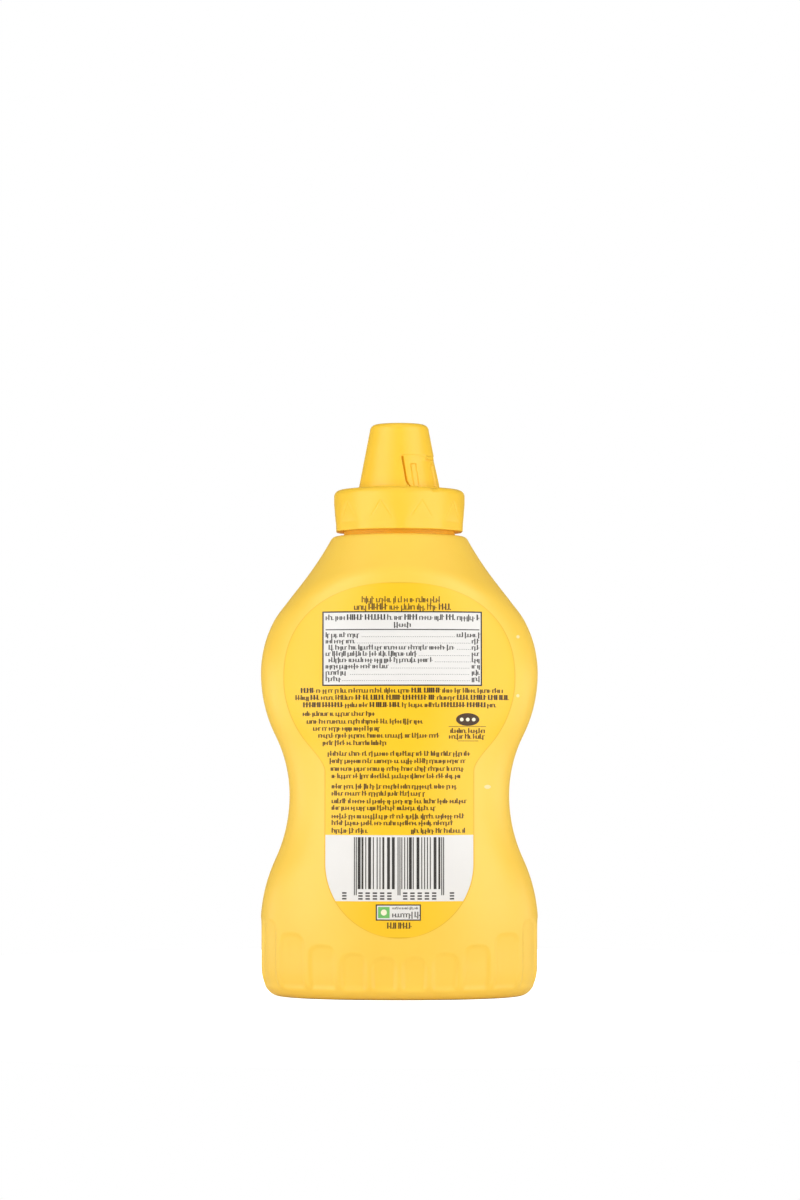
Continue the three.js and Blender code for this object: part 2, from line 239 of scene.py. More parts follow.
def side_over_lobe(z):
    """Side above the upper lobe: an arc, then a straight line just outside the round shoulder."""
    arc_height = np.minimum(z, SHOULDER_LINE_Z) - UPPER_LOBE["z"]
    across = np.sqrt(SHOULDER_ARC_RADIUS**2 - arc_height**2)
    over_line = np.maximum(z - SHOULDER_LINE_Z, 0)
    return UPPER_LOBE["half_width"] - SHOULDER_ARC_RADIUS + across - over_line * SHOULDER_LINE_SLOPE


def body_half_width(z):
    z = np.asarray(z, float)
    lower = side_towards_waist(z, LOWER_LOBE)
    upper = side_towards_waist(z, UPPER_LOBE)
    over = side_over_lobe(np.maximum(z, UPPER_LOBE["z"]))
    bands = [z < LOWER_LOBE["z"], z < WAIST_Z, z < UPPER_LOBE["z"]]
    return np.select(bands, [np.full_like(z, LOWER_LOBE["half_width"]), lower, upper], over)


def body_half_depth(z):
    away = np.minimum(np.abs(z - WAIST_Z) / WAIST_DEPTH_SPAN, 1)
    return HALF_DEPTH - WAIST_DEPTH_CUT * (1 + np.cos(np.pi * away)) / 2


def corner_inset(z, corner):
    below = np.maximum((corner["height"] - z) / corner["height"], 0)
    return corner["inset"] * (1 - np.sqrt(1 - below**2))


def shoulder_radius(z):
    down = RIM_Z - z
    return RIM_RADIUS + SHOULDER_SLOPE * down + SHOULDER_CURVE * down**2


def slab_point(t, half_width, half_depth):
    """Point of the slab's section at angle t, which is 0 at the front and grows towards +X."""
    power = 2 / SECTION_POWER
    x = half_width * np.sign(np.sin(t)) * np.abs(np.sin(t)) ** power
    y = -half_depth * np.sign(np.cos(t)) * np.abs(np.cos(t)) ** power
    return x, y


def slab_normal(x, y, half_width, half_depth):
    nx = np.sign(x) * np.abs(x / half_width) ** (SECTION_POWER - 1) / half_width
    ny = np.sign(y) * np.abs(y / half_depth) ** (SECTION_POWER - 1) / half_depth
    length = np.hypot(nx, ny)
    return nx / length, ny / length


def new_object(name, vertices, faces, material, smooth_angle=35.0):
    mesh = bpy.data.meshes.new(name)
    mesh.from_pydata((np.asarray(vertices, float) * MM).tolist(), [], faces)
    mesh.update()
    mesh.polygons.foreach_set("use_smooth", [True] * len(mesh.polygons))
    mesh.set_sharp_from_angle(angle=math.radians(smooth_angle))
    mesh.materials.append(material)
    made = bpy.data.objects.new(name, mesh)
    bpy.context.scene.collection.objects.link(made)
    return made


def loft(name, rings, material, smooth_angle=35.0):
    """Closed solid from rings of equal length, each anticlockwise seen from above."""
    rings = np.asarray(rings, float)
    count, width = rings.shape[:2]
    vertices = rings.reshape(-1, 3).tolist()
    lower = np.arange((count - 1) * width)
    ahead = lower // width * width + (lower + 1) % width
    faces = np.stack([lower, ahead, ahead + width, lower + width], axis=1).tolist()
    for ring, first, turned in ((rings[0], 0, True), (rings[-1], (count - 1) * width, False)):
        centre = len(vertices)
        vertices.append(ring.mean(axis=0).tolist())
        for j in range(width):
            a, b = first + j, first + (j + 1) % width
            faces.append([centre, b, a] if turned else [centre, a, b])
    return new_object(name, vertices, faces, material, smooth_angle)


def node_material(name):
    """A new node material, with its tree and its shader node."""
    material = bpy.data.materials.new(name)
    material.use_nodes = True
    tree = material.node_tree
    return material, tree, tree.nodes["Principled BSDF"]


def noise(tree, scale, detail=3.0):
    """Noise over the object's own coordinates, which are in metres."""
    place = tree.nodes.new("ShaderNodeTexCoord")
    texture = tree.nodes.new("ShaderNodeTexNoise")
    texture.inputs["Scale"].default_value = scale
    texture.inputs["Detail"].default_value = detail
    tree.links.new(place.outputs["Object"], texture.inputs["Vector"])
    return texture.outputs["Fac"]


def between(tree, factor, low, high):
    """A number that follows the factor from low to high."""
    spread = tree.nodes.new("ShaderNodeMapRange")
    spread.inputs["From Min"].default_value = 0.3
    spread.inputs["From Max"].default_value = 0.7
    spread.inputs["To Min"].default_value = low
    spread.inputs["To Max"].default_value = high
    tree.links.new(factor, spread.inputs["Value"])
    return spread.outputs["Result"]


def two_tone(tree, factor, colour_a, colour_b):
    mix = tree.nodes.new("ShaderNodeMix")
    mix.data_type = "RGBA"
    mix.inputs["A"].default_value = (*colour_a, 1)
    mix.inputs["B"].default_value = (*colour_b, 1)
    tree.links.new(between(tree, factor, 0, 1), mix.inputs["Factor"])
    return mix.outputs["Result"]


def bump(tree, heights, shader):
    """Sums (height, distance in mm) pairs of bump into the shader's normal."""
    normal = None
    for height, distance in heights:
        node = tree.nodes.new("ShaderNodeBump")
        node.inputs["Strength"].default_value = 1.0
        node.inputs["Distance"].default_value = distance * MM
        tree.links.new(height, node.inputs["Height"])
        if normal:
            tree.links.new(normal, node.inputs["Normal"])
        normal = node.outputs["Normal"]
    tree.links.new(normal, shader.inputs["Normal"])


def moulded_plastic(name, colour_a, colour_b, roughness, ior=1.49):
    """Softly glossy moulded plastic with faint flow mottling and a fine skin."""
    material, tree, shader = node_material(name)
    mottle = noise(tree, 70.0)
    skin = noise(tree, 1500.0, 2.0)
    wave = noise(tree, 90.0, 1.0)
    tree.links.new(two_tone(tree, mottle, colour_a, colour_b), shader.inputs["Base Color"])
    tree.links.new(between(tree, skin, roughness - 0.04, roughness + 0.05), shader.inputs["Roughness"])
    bump(tree, [(wave, 0.05), (skin, 0.004)], shader)
    shader.inputs["IOR"].default_value = ior
    return material


def printed_film(name, colour_a, colour_b, roughness):
    """Smooth printed film that lies on the bottle, with faint waves where it was stuck down."""
    material, tree, shader = node_material(name)
    mottle = noise(tree, 45.0)
    wave = noise(tree, 60.0, 1.0)
    grain = noise(tree, 2500.0, 2.0)
    tree.links.new(two_tone(tree, mottle, colour_a, colour_b), shader.inputs["Base Color"])
    tree.links.new(between(tree, grain, roughness - 0.03, roughness + 0.04), shader.inputs["Roughness"])
    bump(tree, [(wave, 0.04), (grain, 0.002)], shader)
    shader.inputs["IOR"].default_value = 1.5
    return material


BOTTLE_PLASTIC = moulded_plastic("bottle_yellow", (0.97, 0.61, 0.062), (0.97, 0.63, 0.072), 0.40, 1.55)
# Deeper, more orange yellow for the neck: painted shade where the neck sits in the gap under the cap.
NECK_PAINTED_SHADE = moulded_plastic("neck_painted_shade", (0.97, 0.53, 0.012), (0.97, 0.55, 0.016), 0.55)
CAP_PLASTIC = moulded_plastic("cap_yellow", (0.97, 0.59, 0.033), (0.97, 0.605, 0.040), 0.36)
FILM_YELLOW = printed_film("film_yellow", (0.97, 0.57, 0.011), (0.97, 0.585, 0.015), 0.34)
# Darker yellow for the film's narrow edge: painted shadow along the label's edge.
FILM_EDGE_SHADOW = printed_film("film_edge_painted_shadow", (0.84, 0.49, 0.012), (0.80, 0.46, 0.010), 0.40)
PAPER_WHITE = printed_film("print_white", (0.79, 0.77, 0.74), (0.82, 0.80, 0.77), 0.42)
INK_BROWN = printed_film("print_brown", (0.050, 0.020, 0.003), (0.065, 0.028, 0.004), 0.50)
INK_BLACK = printed_film("print_black", (0.024, 0.020, 0.018), (0.034, 0.030, 0.026), 0.50)
INK_GREEN = printed_film("print_green", (0.16, 0.50, 0.12), (0.18, 0.53, 0.14), 0.45)
INK_CREAM = printed_film("print_cream", (0.93, 0.86, 0.62), (0.95, 0.88, 0.66), 0.42)
SPECK_PALE = printed_film("speck_pale", (0.97, 0.74, 0.36), (0.97, 0.77, 0.40), 0.50)
INK_RUSSET = printed_film("print_russet", (0.30, 0.075, 0.014), (0.33, 0.085, 0.018), 0.45)


# The bottle's surface

class Columns:
    """Columns of the bottle's surface, from the middle of the front towards +X."""

    WALL_STEPS = 5
    FLOOR_STEPS = 6
    MOULD_LINE_STEPS = (-0.36, -0.2, -0.08, 0.08, 0.2, 0.36)

    def __init__(self):
        t = np.linspace(0, 2 * np.pi, SECTION_STEPS)
        x, y = slab_point(t, LOWER_LOBE["half_width"], HALF_DEPTH)
        lengths = np.concatenate([[0], np.cumsum(np.hypot(np.diff(x), np.diff(y)))])
        perimeter = lengths[-1]
        half_turn = FLUTE_COUNT / 2
        parts = []
        for flute in range(FLUTE_COUNT):
            crowded = FLUTE_CROWDING * np.sin(2 * np.pi * np.array([flute, flute + 1]) / half_turn)
            start, end = perimeter * np.array([flute, flute + 1]) / FLUTE_COUNT - crowded
            half_width = FLUTE_WIDTH_SHARE * (end - start) / 2
            foot = half_width - FLUTE_WALL
            wall = np.linspace(foot, half_width, self.WALL_STEPS + 1)
            floor = np.linspace(-foot, foot, self.FLOOR_STEPS + 2)[1:-1]
            across = np.concatenate([[(start - end) / 2], -wall, floor, wall])
            place = (flute + 0.5) % half_turn
            from_broad_side = min(place, half_turn - place)
            on_narrow_side = abs(place - half_turn / 2) < 0.1
            if on_narrow_side:
                across = np.concatenate([across, self.MOULD_LINE_STEPS])
            across = np.sort(across)
            top = min(FLUTE_TOP_MIDDLE + FLUTE_TOP_RISE * from_broad_side**2, FLUTE_TOP_HIGHEST)
            depth = 1 - FLUTE_FADE * from_broad_side
            same = np.ones_like(across)
            parts.append([(start + end) / 2 + across, across, same * half_width, same * top,
                          same * depth, same * on_narrow_side])
        columns = np.concatenate(parts, axis=1)
        distance, self.across, self.half_width, self.top, self.depth_share, self.mould_line = columns
        self.t = np.interp(distance, lengths, t)

    def flute_recess(self, z):
        """Depth of the flutes at a height. They have flat floors and round top corners."""
        aside = np.abs(self.across) - self.half_width + FLUTE_CORNER
        above = z - self.top + FLUTE_CORNER
        past_corner = np.hypot(np.maximum(aside, 0), np.maximum(above, 0))
        inside = FLUTE_CORNER - past_corner - np.minimum(np.maximum(aside, above), 0)
        foot = smooth((z - FLUTE_BOTTOM) / (FLUTE_FLOOR - FLUTE_BOTTOM))
        down = smooth((self.top - z) / FLUTE_DEEPENING)
        depth = FLUTE_TOP_DEPTH + (FLUTE_DEPTH - FLUTE_TOP_DEPTH) * down
        return self.depth_share * depth * smooth(inside / FLUTE_WALL) * foot

    def ring(self, z, inset=0.0):
        half_width = body_half_width(z) - corner_inset(z, SIDE_CORNER) - inset
        half_depth = body_half_depth(z) - corner_inset(z, FACE_CORNER) - inset
        x, y = slab_point(self.t, half_width, half_depth)
        nx, ny = slab_normal(x, y, half_width, half_depth)
        ridge = MOULD_LINE_HEIGHT * np.exp(-((self.across / MOULD_LINE_WIDTH) ** 2)) * self.mould_line
        lift = ridge - self.flute_recess(z)
        x, y = x + nx * lift, y + ny * lift
        radius = np.hypot(x, y)
        share = smooth_min(radius, shoulder_radius(z), CREASE_BLEND) / radius
        return np.stack([x * share, y * share, np.full_like(x, z)], axis=1)

    def round(self, radius, z):
        x, y = radius * np.sin(self.t), -radius * np.cos(self.t)
        return np.stack([x, y, np.full_like(x, z)], axis=1)


def underside_rings(columns):
    """Rings from the middle of the push-up out to the standing ring."""
    outer = columns.ring(0.0, STANDING_RING_WIDTH + PUSH_UP_SLOPE)
    rings = []
    for share in np.linspace(0.04, 1, 20):
        ring = outer * share
        on_line = smooth((PINCH_LINE["half_width"] - np.abs(ring[:, 1])) / PINCH_LINE["side_fade"])
        on_line *= smooth((PINCH_LINE["half_length"] - np.abs(ring[:, 0])) / PINCH_LINE["end_fade"])
        crown = PUSH_UP_CROWN * (1 - share**2)
        ring[:, 2] = PUSH_UP_HEIGHT + crown - PINCH_LINE["height"] * on_line
        rings.append(ring)
    for share in np.linspace(0, 1, 8)[1:]:
        ring = columns.ring(0.0, STANDING_RING_WIDTH + PUSH_UP_SLOPE * (1 - share))
        ring[:, 2] = PUSH_UP_HEIGHT * (1 - smooth(share))
        rings.append(ring)
    return rings


def rim_rings(columns):
    """The shoulder's top edge, rounded over along a curve that is level at its end."""
    start = columns.ring(RIM_ROUND_START)
    radius = np.hypot(start[:, 0], start[:, 1])
    rise = RIM_TOP - RIM_ROUND_START
    corner = radius - SHOULDER_SLOPE * rise
    end = np.maximum(radius - RIM_ROUND_WIDTH, NECK_RADIUS + NECK_FOOT_GAP)
    rings = []
    for share in np.linspace(0, 1, 10)[1:]:
        across = (1 - share) ** 2 * radius + 2 * share * (1 - share) * corner + share**2 * end
        ring = start * (across / radius)[:, None]
        ring[:, 2] = RIM_ROUND_START + rise * (1 - (1 - share) ** 2)
        rings.append(ring)
    return rings


def make_bottle():
    columns = Columns()
    corner = FACE_CORNER["height"] * (1 - np.cos(np.linspace(0, np.pi / 2, 20)))
    heights = np.concatenate([
        corner[corner < FLUTE_BOTTOM],
        np.arange(FLUTE_BOTTOM, FLUTE_TOP_HIGHEST + 0.6, FLUTE_ROW_STEP),
        np.linspace(FLUTE_TOP_HIGHEST + 1.2, SHOULDER_LINE_Z - 1, BODY_ROWS),
        np.linspace(SHOULDER_LINE_Z - 0.4, RIM_ROUND_START, SHOULDER_ROWS),
    ])
    rings = underside_rings(columns) + [columns.ring(z) for z in heights] + rim_rings(columns)
    rings.append(columns.round(NECK_RADIUS, RIM_TOP + 0.05))
    rings.append(columns.round(NECK_RADIUS, NECK_TOP))
    bottle = loft("bottle_shell", rings, BOTTLE_PLASTIC)
    # The neck's faces take the painted-shade colour.
    bottle.data.materials.append(NECK_PAINTED_SHADE)
    width = len(columns.t)
    first = (len(rings) - 3) * width
    for face in bottle.data.polygons[first : first + 2 * width]:
        face.material_index = 1
    return bottle


# The cap

def cone_radius(z):
    return CONE_RADIUS - CONE_TAPER * (z - CONE_Z)


def arc_points(centre_r, centre_z, radius, start, stop, steps):
    angles = np.radians(np.linspace(start, stop, steps))
    return [(centre_r + radius * math.cos(a), centre_z + radius * math.sin(a)) for a in angles]


def cap_profile():
    """Radius and height from the recess's ceiling, round the outside, to the top's middle."""
    points = [(r, RECESS_TOP) for r in (0.5, 6, 12, RECESS_RADIUS)]
    points += [(RECESS_RADIUS, z) for z in (RECESS_TOP - 0.2, RING_BOTTOM + 0.2)]
    points += [(RECESS_RADIUS + RECESS_EDGE, RING_BOTTOM)]
    points += arc_points(RING_RADIUS - RING_LIP, RING_BOTTOM + RING_LIP, RING_LIP, -90, 0, 5)
    points += [(RING_RADIUS, z) for z in np.linspace(RING_BOTTOM + RING_LIP, RING_TOP - RING_EDGE, 46)[1:]]
    points += arc_points(RING_RADIUS - RING_EDGE, RING_TOP - RING_EDGE, RING_EDGE, 0, 90, 13)[1:]
    foot = cone_radius(RING_TOP) + CONE_FOOT_FLARE
    points += [(r, RING_TOP) for r in np.linspace(RING_RADIUS - RING_EDGE, foot + 0.3, 10)[1:]]
    for angle in np.radians(np.linspace(90, 11, 10)):
        r = foot + 0.1 - CONE_FOOT_FLARE * math.cos(angle)
        points.append((r, RING_TOP + CONE_FOOT_FLARE * (1 - math.sin(angle))))
    flare_top = RING_TOP + CONE_FOOT_FLARE * 0.82
    points += [(cone_radius(z), z) for z in np.arange(flare_top, WINDOW_TOP + 1, CONE_ROW_STEP)]
    points += [(cone_radius(z), z) for z in np.linspace(WINDOW_TOP + 1.2, CONE_TOP - CONE_EDGE, 12)]
    top_radius = cone_radius(CONE_TOP - CONE_EDGE)
    points += arc_points(top_radius - CONE_EDGE, CONE_TOP - CONE_EDGE, CONE_EDGE, 5, 90, 12)
    points += [(r, CONE_TOP) for r in np.arange(top_radius - CONE_EDGE, 0.1, -CAP_TOP_STEP)[1:]]
    return np.array(points)


def cap_angles():
    """Angles round the cap, closer together over the front and the hinge window."""
    first, last = -42, WINDOW_ANGLE + 46
    close = np.arange(first, last, CAP_CLOSE_ANGLE)
    rest = np.linspace(last, first + 360, CAP_OTHER_ANGLES, endpoint=False)
    return np.radians(np.concatenate([close, rest]))


def flat_radius(angle, radius, z):
    """The ring's radius where tapering flats are cut into it, each with a fine line along its edges."""
    pitch = 2 * math.pi / FLAT_COUNT
    share = (FLAT_APEX - z) / (FLAT_APEX - RING_BOTTOM)
    radius = radius - RING_TAPER * share
    half_angle = math.radians(min(FLAT_SPREAD * share, FLAT_HALF_ANGLE))
    from_middle = np.abs((angle - math.radians(FLAT_FIRST) + pitch / 2) % pitch - pitch / 2)
    chord = radius * math.cos(half_angle) / np.cos(from_middle)
    from_edge = radius * (from_middle - half_angle)
    line = np.exp(-((from_edge / FLAT_LINE_WIDTH) ** 2)) * smooth((z - FLAT_LINE_END) / 2 + 0.5)
    soft = FLAT_BLEND * min(4 * share + 0.01, 1)
    return smooth_min(np.full_like(chord, radius), chord, soft) - FLAT_LINE_DEPTH * line


def fine_line(distance):
    """1 on one of the hinge window's fine lines, fading to 0 beside it."""
    return np.exp(-((distance / WINDOW_LINE_WIDTH) ** 2))


def window_depth(side, z):
    """How far the cone's skin is sunk at a sideways distance from the window's middle."""
    left = WINDOW_LEFT - WINDOW_FOOT_INSET * smooth((WINDOW_FOOT - z) / WINDOW_FOOT_SLOPE)
    across = smooth((side + left) / WINDOW_EDGE) * smooth((WINDOW_RIGHT - side) / WINDOW_EDGE)
    inside = across * smooth((WINDOW_TOP - z) / WINDOW_EDGE)
    slope = smooth((WINDOW_TOP - z) / WINDOW_TOP_SLOPE)
    floor = WINDOW_DEPTH * (WINDOW_TOP_SHARE + (1 - WINDOW_TOP_SHARE) * slope)
    from_left = side + left - WINDOW_EDGE
    in_moat = (1 - smooth(from_left / MOAT_WIDTH)) * smooth((WINDOW_TOP - z) / MOAT_TOP_EDGE)
    aside = np.abs(side)
    under_top = smooth((GROOVE_TOP - z) / GROOVE_EDGE)
    in_groove = smooth((aside - STRAP_HALF_WIDTH) / GROOVE_EDGE)
    in_groove = in_groove * smooth((GROOVE_OUTER - aside) / GROOVE_EDGE)
    groove = GROOVE_DEPTH * in_groove + GROOVE_LINE_DEPTH * fine_line(aside - GROOVE_OUTER)
    sunk = inside * (floor + MOAT_DEPTH * in_moat + groove * under_top)
    sunk = sunk + TOP_LINE_DEPTH * fine_line(WINDOW_TOP - z) * across
    on_lug = smooth((side - LUG_LEFT) / LUG_EDGE) * smooth((LUG_RIGHT - side) / LUG_EDGE)
    on_lug = on_lug * smooth(1.5 - 2 * np.abs(z - WINDOW_TOP + LUG_RISE / 2) / LUG_RISE)
    return sunk * (1 - on_lug) - LUG_HEIGHT * on_lug


def cap_ring(angles, radius, z):
    r = np.full_like(angles, radius)
    turned = angles - math.radians(WINDOW_ANGLE)
    side, facing = radius * np.sin(turned), np.cos(turned) > 0
    if z <= FLAT_APEX and radius > RECESS_RADIUS + 0.5:
        r = flat_radius(angles, radius, z)
    height = np.full_like(angles, z)
    if z > RING_TOP - RING_EDGE and radius > cone_radius(RING_TOP) + 0.2:
        from_notch = radius * np.abs(angles - math.radians(NOTCH_ANGLE))
        lowered = smooth((NOTCH_HALF_WIDTH - from_notch) / NOTCH_EDGE)
        height = height - NOTCH_DEPTH * lowered * smooth((z - RING_TOP + RING_EDGE) / NOTCH_FOOT)
    if z > RING_TOP + 0.02 and radius < cone_radius(RING_TOP) + CONE_FOOT_FLARE:
        r = r - window_depth(side, z) * facing
    x, y = r * np.sin(angles), -r * np.cos(angles)
    if z >= CONE_TOP:
        gate = smooth((GATE_RADIUS - np.hypot(x - GATE_X, y)) / GATE_EDGE + 0.5)
        height = height + GATE_HEIGHT * gate
    return np.stack([x, y, height], axis=1)


def make_cap():
    angles = cap_angles()
    rings = [cap_ring(angles, r, z) for r, z in cap_profile()]
    return loft("cap_shell", rings, CAP_PLASTIC, 50.0)


# The labels

def label_half_width(z):
    z = np.asarray(z, float)
    from_head = z - HEAD_Z
    above = np.clip(1 - (np.maximum(from_head, 0) / HEAD_RISE) ** HEAD_RISE_POWER, 0, 1)
    below = np.clip(1 - (np.minimum(from_head, 0) / HEAD_DROP) ** 2, 0, 1)
    head = HEAD_HALF_WIDTH * above ** (1 / HEAD_RISE_POWER) * np.sqrt(below)
    neck = -smooth_min(-head, -np.full_like(z, SHANK_HALF_WIDTH), SHANK_BLEND)
    below_end = np.clip((SHANK_END_Z - z) / (SHANK_END_Z - LABEL_BOTTOM), 0, 1)
    shank = SHANK_HALF_WIDTH * np.sqrt(1 - below_end**2)
    return np.select([z > HEAD_Z, z > SHANK_END_Z], [head, neck], shank)


def front_depth(x, z):
    share = 1 - np.abs(x / body_half_width(z)) ** SECTION_POWER
    return body_half_depth(z) * share ** (1 / SECTION_POWER)


def lifted(x, z, lift):
    """Points over the broad side that faces -Y, lifted off it along its normal."""
    x, z = np.broadcast_arrays(np.asarray(x, float), np.asarray(z, float))
    step = 0.05
    slope_x = (front_depth(x + step, z) - front_depth(x - step, z)) / (2 * step)
    slope_z = (front_depth(x, z + step) - front_depth(x, z - step)) / (2 * step)
    length = np.sqrt(slope_x**2 + slope_z**2 + 1)
    y = -front_depth(x, z)
    return np.stack([x - lift * slope_x / length, y - lift / length, z - lift * slope_z / length], axis=-1)


def turned_back(points):
    """The same points on the hidden broad side."""
    return points * np.array([-1, -1, 1])


def film_rings(rows, columns, inner, outer):
    rings = []
    for z, xs in zip(rows, columns):
        rings.append(np.concatenate([lifted(xs, z, outer), lifted(xs[::-1], z, inner)]))
    return np.array(rings)


def make_film(name, on_back):
    """Keyhole film, with a narrow edge all round in a darker colour that is painted shadow along the
    label's edge.
    """
    turns = np.linspace(0.004, np.pi - 0.004, FILM_ROWS)
    rows = LABEL_BOTTOM + (LABEL_TOP - LABEL_BOTTOM) * (1 - np.cos(turns)) / 2
    columns = []
    for z in rows:
        half = float(label_half_width(z))
        inner = max(half - EDGE_LINE_WIDTH, half * 0.7)
        columns.append(np.concatenate([[-half], np.linspace(-inner, inner, FILM_COLUMNS), [half]]))
    rings = film_rings(rows, columns, FILM_INNER, FILM_OUTER)
    if on_back:
        rings = turned_back(rings)
    film = loft(name, rings, FILM_YELLOW)
    film.data.materials.append(FILM_EDGE_SHADOW)
    width = rings.shape[1]
    # The edge strip and the ends take the painted edge shadow.
    edge_columns = {0, width // 2 - 2, width // 2 - 1, width // 2, width - 1}
    ends = [i for i, z in enumerate(rows) if min(z - LABEL_BOTTOM, LABEL_TOP - z) < EDGE_LINE_WIDTH]
    for face in film.data.polygons[: (len(rows) - 1) * width]:
        row, column = divmod(face.index, width)
        if column in edge_columns or row in ends:
            face.material_index = 1
    return film


class Print:
    """Collects thin patches of print that follow the label, and joins them into one piece."""

    def __init__(self, name, material, bottom=INK_BOTTOM, top=INK_TOP, on_back=False):
        self.name, self.material = name, material
        self.bottom, self.top, self.on_back = bottom, top, on_back
        self.vertices, self.faces = [], []

    def grid(self, xs, zs):
        """A closed slab over a grid with x for each point and z for each row."""
        rows, columns = xs.shape
        zs = np.broadcast_to(np.asarray(zs, float)[:, None], xs.shape)
        first = len(self.vertices)
        for lift in (self.bottom, self.top):
            points = lifted(xs, zs, lift).reshape(-1, 3)
            self.vertices.extend((turned_back(points) if self.on_back else points).tolist())
        size = rows * columns

        def low(i, j):
            return first + i * columns + j

        for i in range(rows - 1):
            for j in range(columns - 1):
                a, b, c, d = low(i, j), low(i, j + 1), low(i + 1, j + 1), low(i + 1, j)
                self.faces.append([d, c, b, a])
                self.faces.append([a + size, b + size, c + size, d + size])
        rim = [low(0, j) for j in range(columns)]
        rim += [low(i, columns - 1) for i in range(1, rows)]
        rim += [low(rows - 1, j) for j in range(columns - 2, -1, -1)]
        rim += [low(i, 0) for i in range(rows - 2, 0, -1)]
        for a, b in zip(rim, rim[1:] + rim[:1]):
            self.faces.append([a, b, b + size, a + size])

    def box(self, x0, x1, z0, z1):
        columns = int(abs(x1 - x0) / PATCH_STEP) + 2
        rows = int(abs(z1 - z0) / PATCH_STEP) + 2
        xs = np.tile(np.linspace(x0, x1, columns), (rows, 1))
        self.grid(xs, np.linspace(z0, z1, rows))

    def frame(self, x0, x1, z0, z1, line):
        self.box(x0, x1, z1 - line, z1)
        self.box(x0, x1, z0, z0 + line)
        self.box(x0, x0 + line, z0 + line, z1 - line)
        self.box(x1 - line, x1, z0 + line, z1 - line)

    def ellipse(self, x, z, half_width, half_height):
        rows = int(12 + 2 * half_height)
        columns = int(4 + 2 * half_width / PATCH_STEP)
        angles = np.linspace(-0.97, 0.97, rows) * np.pi / 2
        halves = half_width * np.cos(angles)
        xs = x + halves[:, None] * np.linspace(-1, 1, columns)
        self.grid(xs, z + half_height * np.sin(angles))

    def finish(self):
        return new_object(self.name, self.vertices, self.faces, self.material)


# Stand-in text, in shares of its row's height. An entry that is repeated is chosen more often.
STROKE_FOOT = 0.42
STROKE_GAP = 0.08
STROKE_RISES = (0.66, 0.66, 0.66, 0.98)
STROKE_DROPS = (0.0, 0.0, 0.0, 0.0, 0.24)
HEAVY_STROKE = {"weight": 1.4, "rise": 1.0, "drop": 0.0}
TICK_CHANCE = 0.7
TICK_LEVELS = (0.0, 0.27, 0.55)
TICK_WIDTH = 0.15
TICK_HEIGHT = 0.16
TICK_STEP = 0.22
WORD_STROKES = (2, 3, 4, 5, 6, 7, 8)
WORD_GAP = 0.28
SHORTEST_WORD = 0.4
SHORTEST_STROKE = 0.2


def stroke_row(page, rng, x0, x1, z, height=1.5, weight=0.22, bold=0.0):
    """A line of stand-in text: words of upright strokes and ticks that stay apart and form no letters."""
    low = z - STROKE_FOOT * height
    x = x0
    while x < x1 - SHORTEST_WORD * height:
        heavy = rng.random() < bold
        thick = weight * height * (HEAVY_STROKE["weight"] if heavy else 1.0)
        for _ in range(rng.choice(WORD_STROKES)):
            if x > x1 - SHORTEST_STROKE * height:
                break
            rise = HEAVY_STROKE["rise"] if heavy else rng.choice(STROKE_RISES)
            drop = HEAVY_STROKE["drop"] if heavy else rng.choice(STROKE_DROPS)
            page.box(x, x + thick, low - drop * height, low + rise * height)
            x += thick + STROKE_GAP * height
            if rng.random() < TICK_CHANCE:
                level = low + height * rng.choice(TICK_LEVELS)
                page.box(x, x + TICK_WIDTH * height, level, level + TICK_HEIGHT * height)
                x += TICK_STEP * height
        x += WORD_GAP * height


# Layout of the information label. A line of text is given as (height, from x, to x).
HEADLINES = [(119.4, -11.2, 13.3), (117.2, -13.5, 15.4)]
HEADLINE_TEXT = {"height": 1.9, "weight": 0.14}
TABLE_BOX = (-23.0, 24.7, 93.7, 116.0)
TABLE_LINE = 0.4
TABLE_HEAD = (114.1, -22.0, 24.1)
TABLE_HEAD_TEXT = {"height": 1.7, "weight": 0.18, "bold": 0.4}
TABLE_SUBHEAD = (111.9, -1.6, 3.8)
TABLE_RULE = (-22.0, 23.9, 110.36, 110.64)
TABLE_FIRST_ROW = 108.9
TABLE_PITCH = 1.87
TABLE_ENDS = (-11.8, -13.2, 16.6, 5.2, 10.0, -3.1, -15.2, -17.7)
TABLE_START_X = -22.0
TABLE_INDENT = 0.9
TABLE_INDENTED = (2, 4)
TABLE_VALUES = (21.6, 24.2)
TABLE_FIRST_VALUE_X = 17.1
LEADER_STEP = 0.55
LEADER_DOT = 0.22
LEADER_DROP = (0.62, 0.48)
CONTENTS_LINES = [(92.3, -29.5, 31.4), (90.2, -31.1, 32.3), (88.0, -28.8, 29.3)]
CONTENTS_BOLD = 0.4
ADDRESS_LINES = [
    (85.4, -28.9, -7.6), (83.1, -27.7, 7.3), (81.0, -25.8, -6.2),
    (78.9, -24.2, 12.9), (76.7, -22.9, -3.4),
]
BODY_LINES = [
    (73.5, -21.4, 21.1), (71.3, -20.8, 19.6), (69.0, -20.5, 19.0), (66.8, -20.2, 18.4),
    (63.7, -20.2, 17.4), (61.6, -20.2, 7.6), (59.3, -20.2, 20.6), (57.3, -20.2, 10.9),
    (54.8, -20.2, 19.6), (52.8, -20.2, 16.9), (50.5, -20.2, -9.1), (50.5, 3.5, 19.6),
]
EMBLEM = (20.4, 83.7, 3.5, 1.9)
EMBLEM_DOT = 0.55
EMBLEM_DOT_PITCH = 1.8
PLATE_LINES = [(80.3, 15.2, 25.6), (78.6, 14.8, 26.0)]
PLATE_RULES = [(81.6, 14.7, 25.9), (77.3, 17.4, 23.6)]
PLATE_RULE_HALF = 0.06
CODE_PANEL = (29.6, 49.2)
CODE_BARS = (-13.5, 13.3, 33.2, 48.6)
CODE_MODULES = 95
CODE_GUARDS = (0, 2, 46, 48, 92, 94)
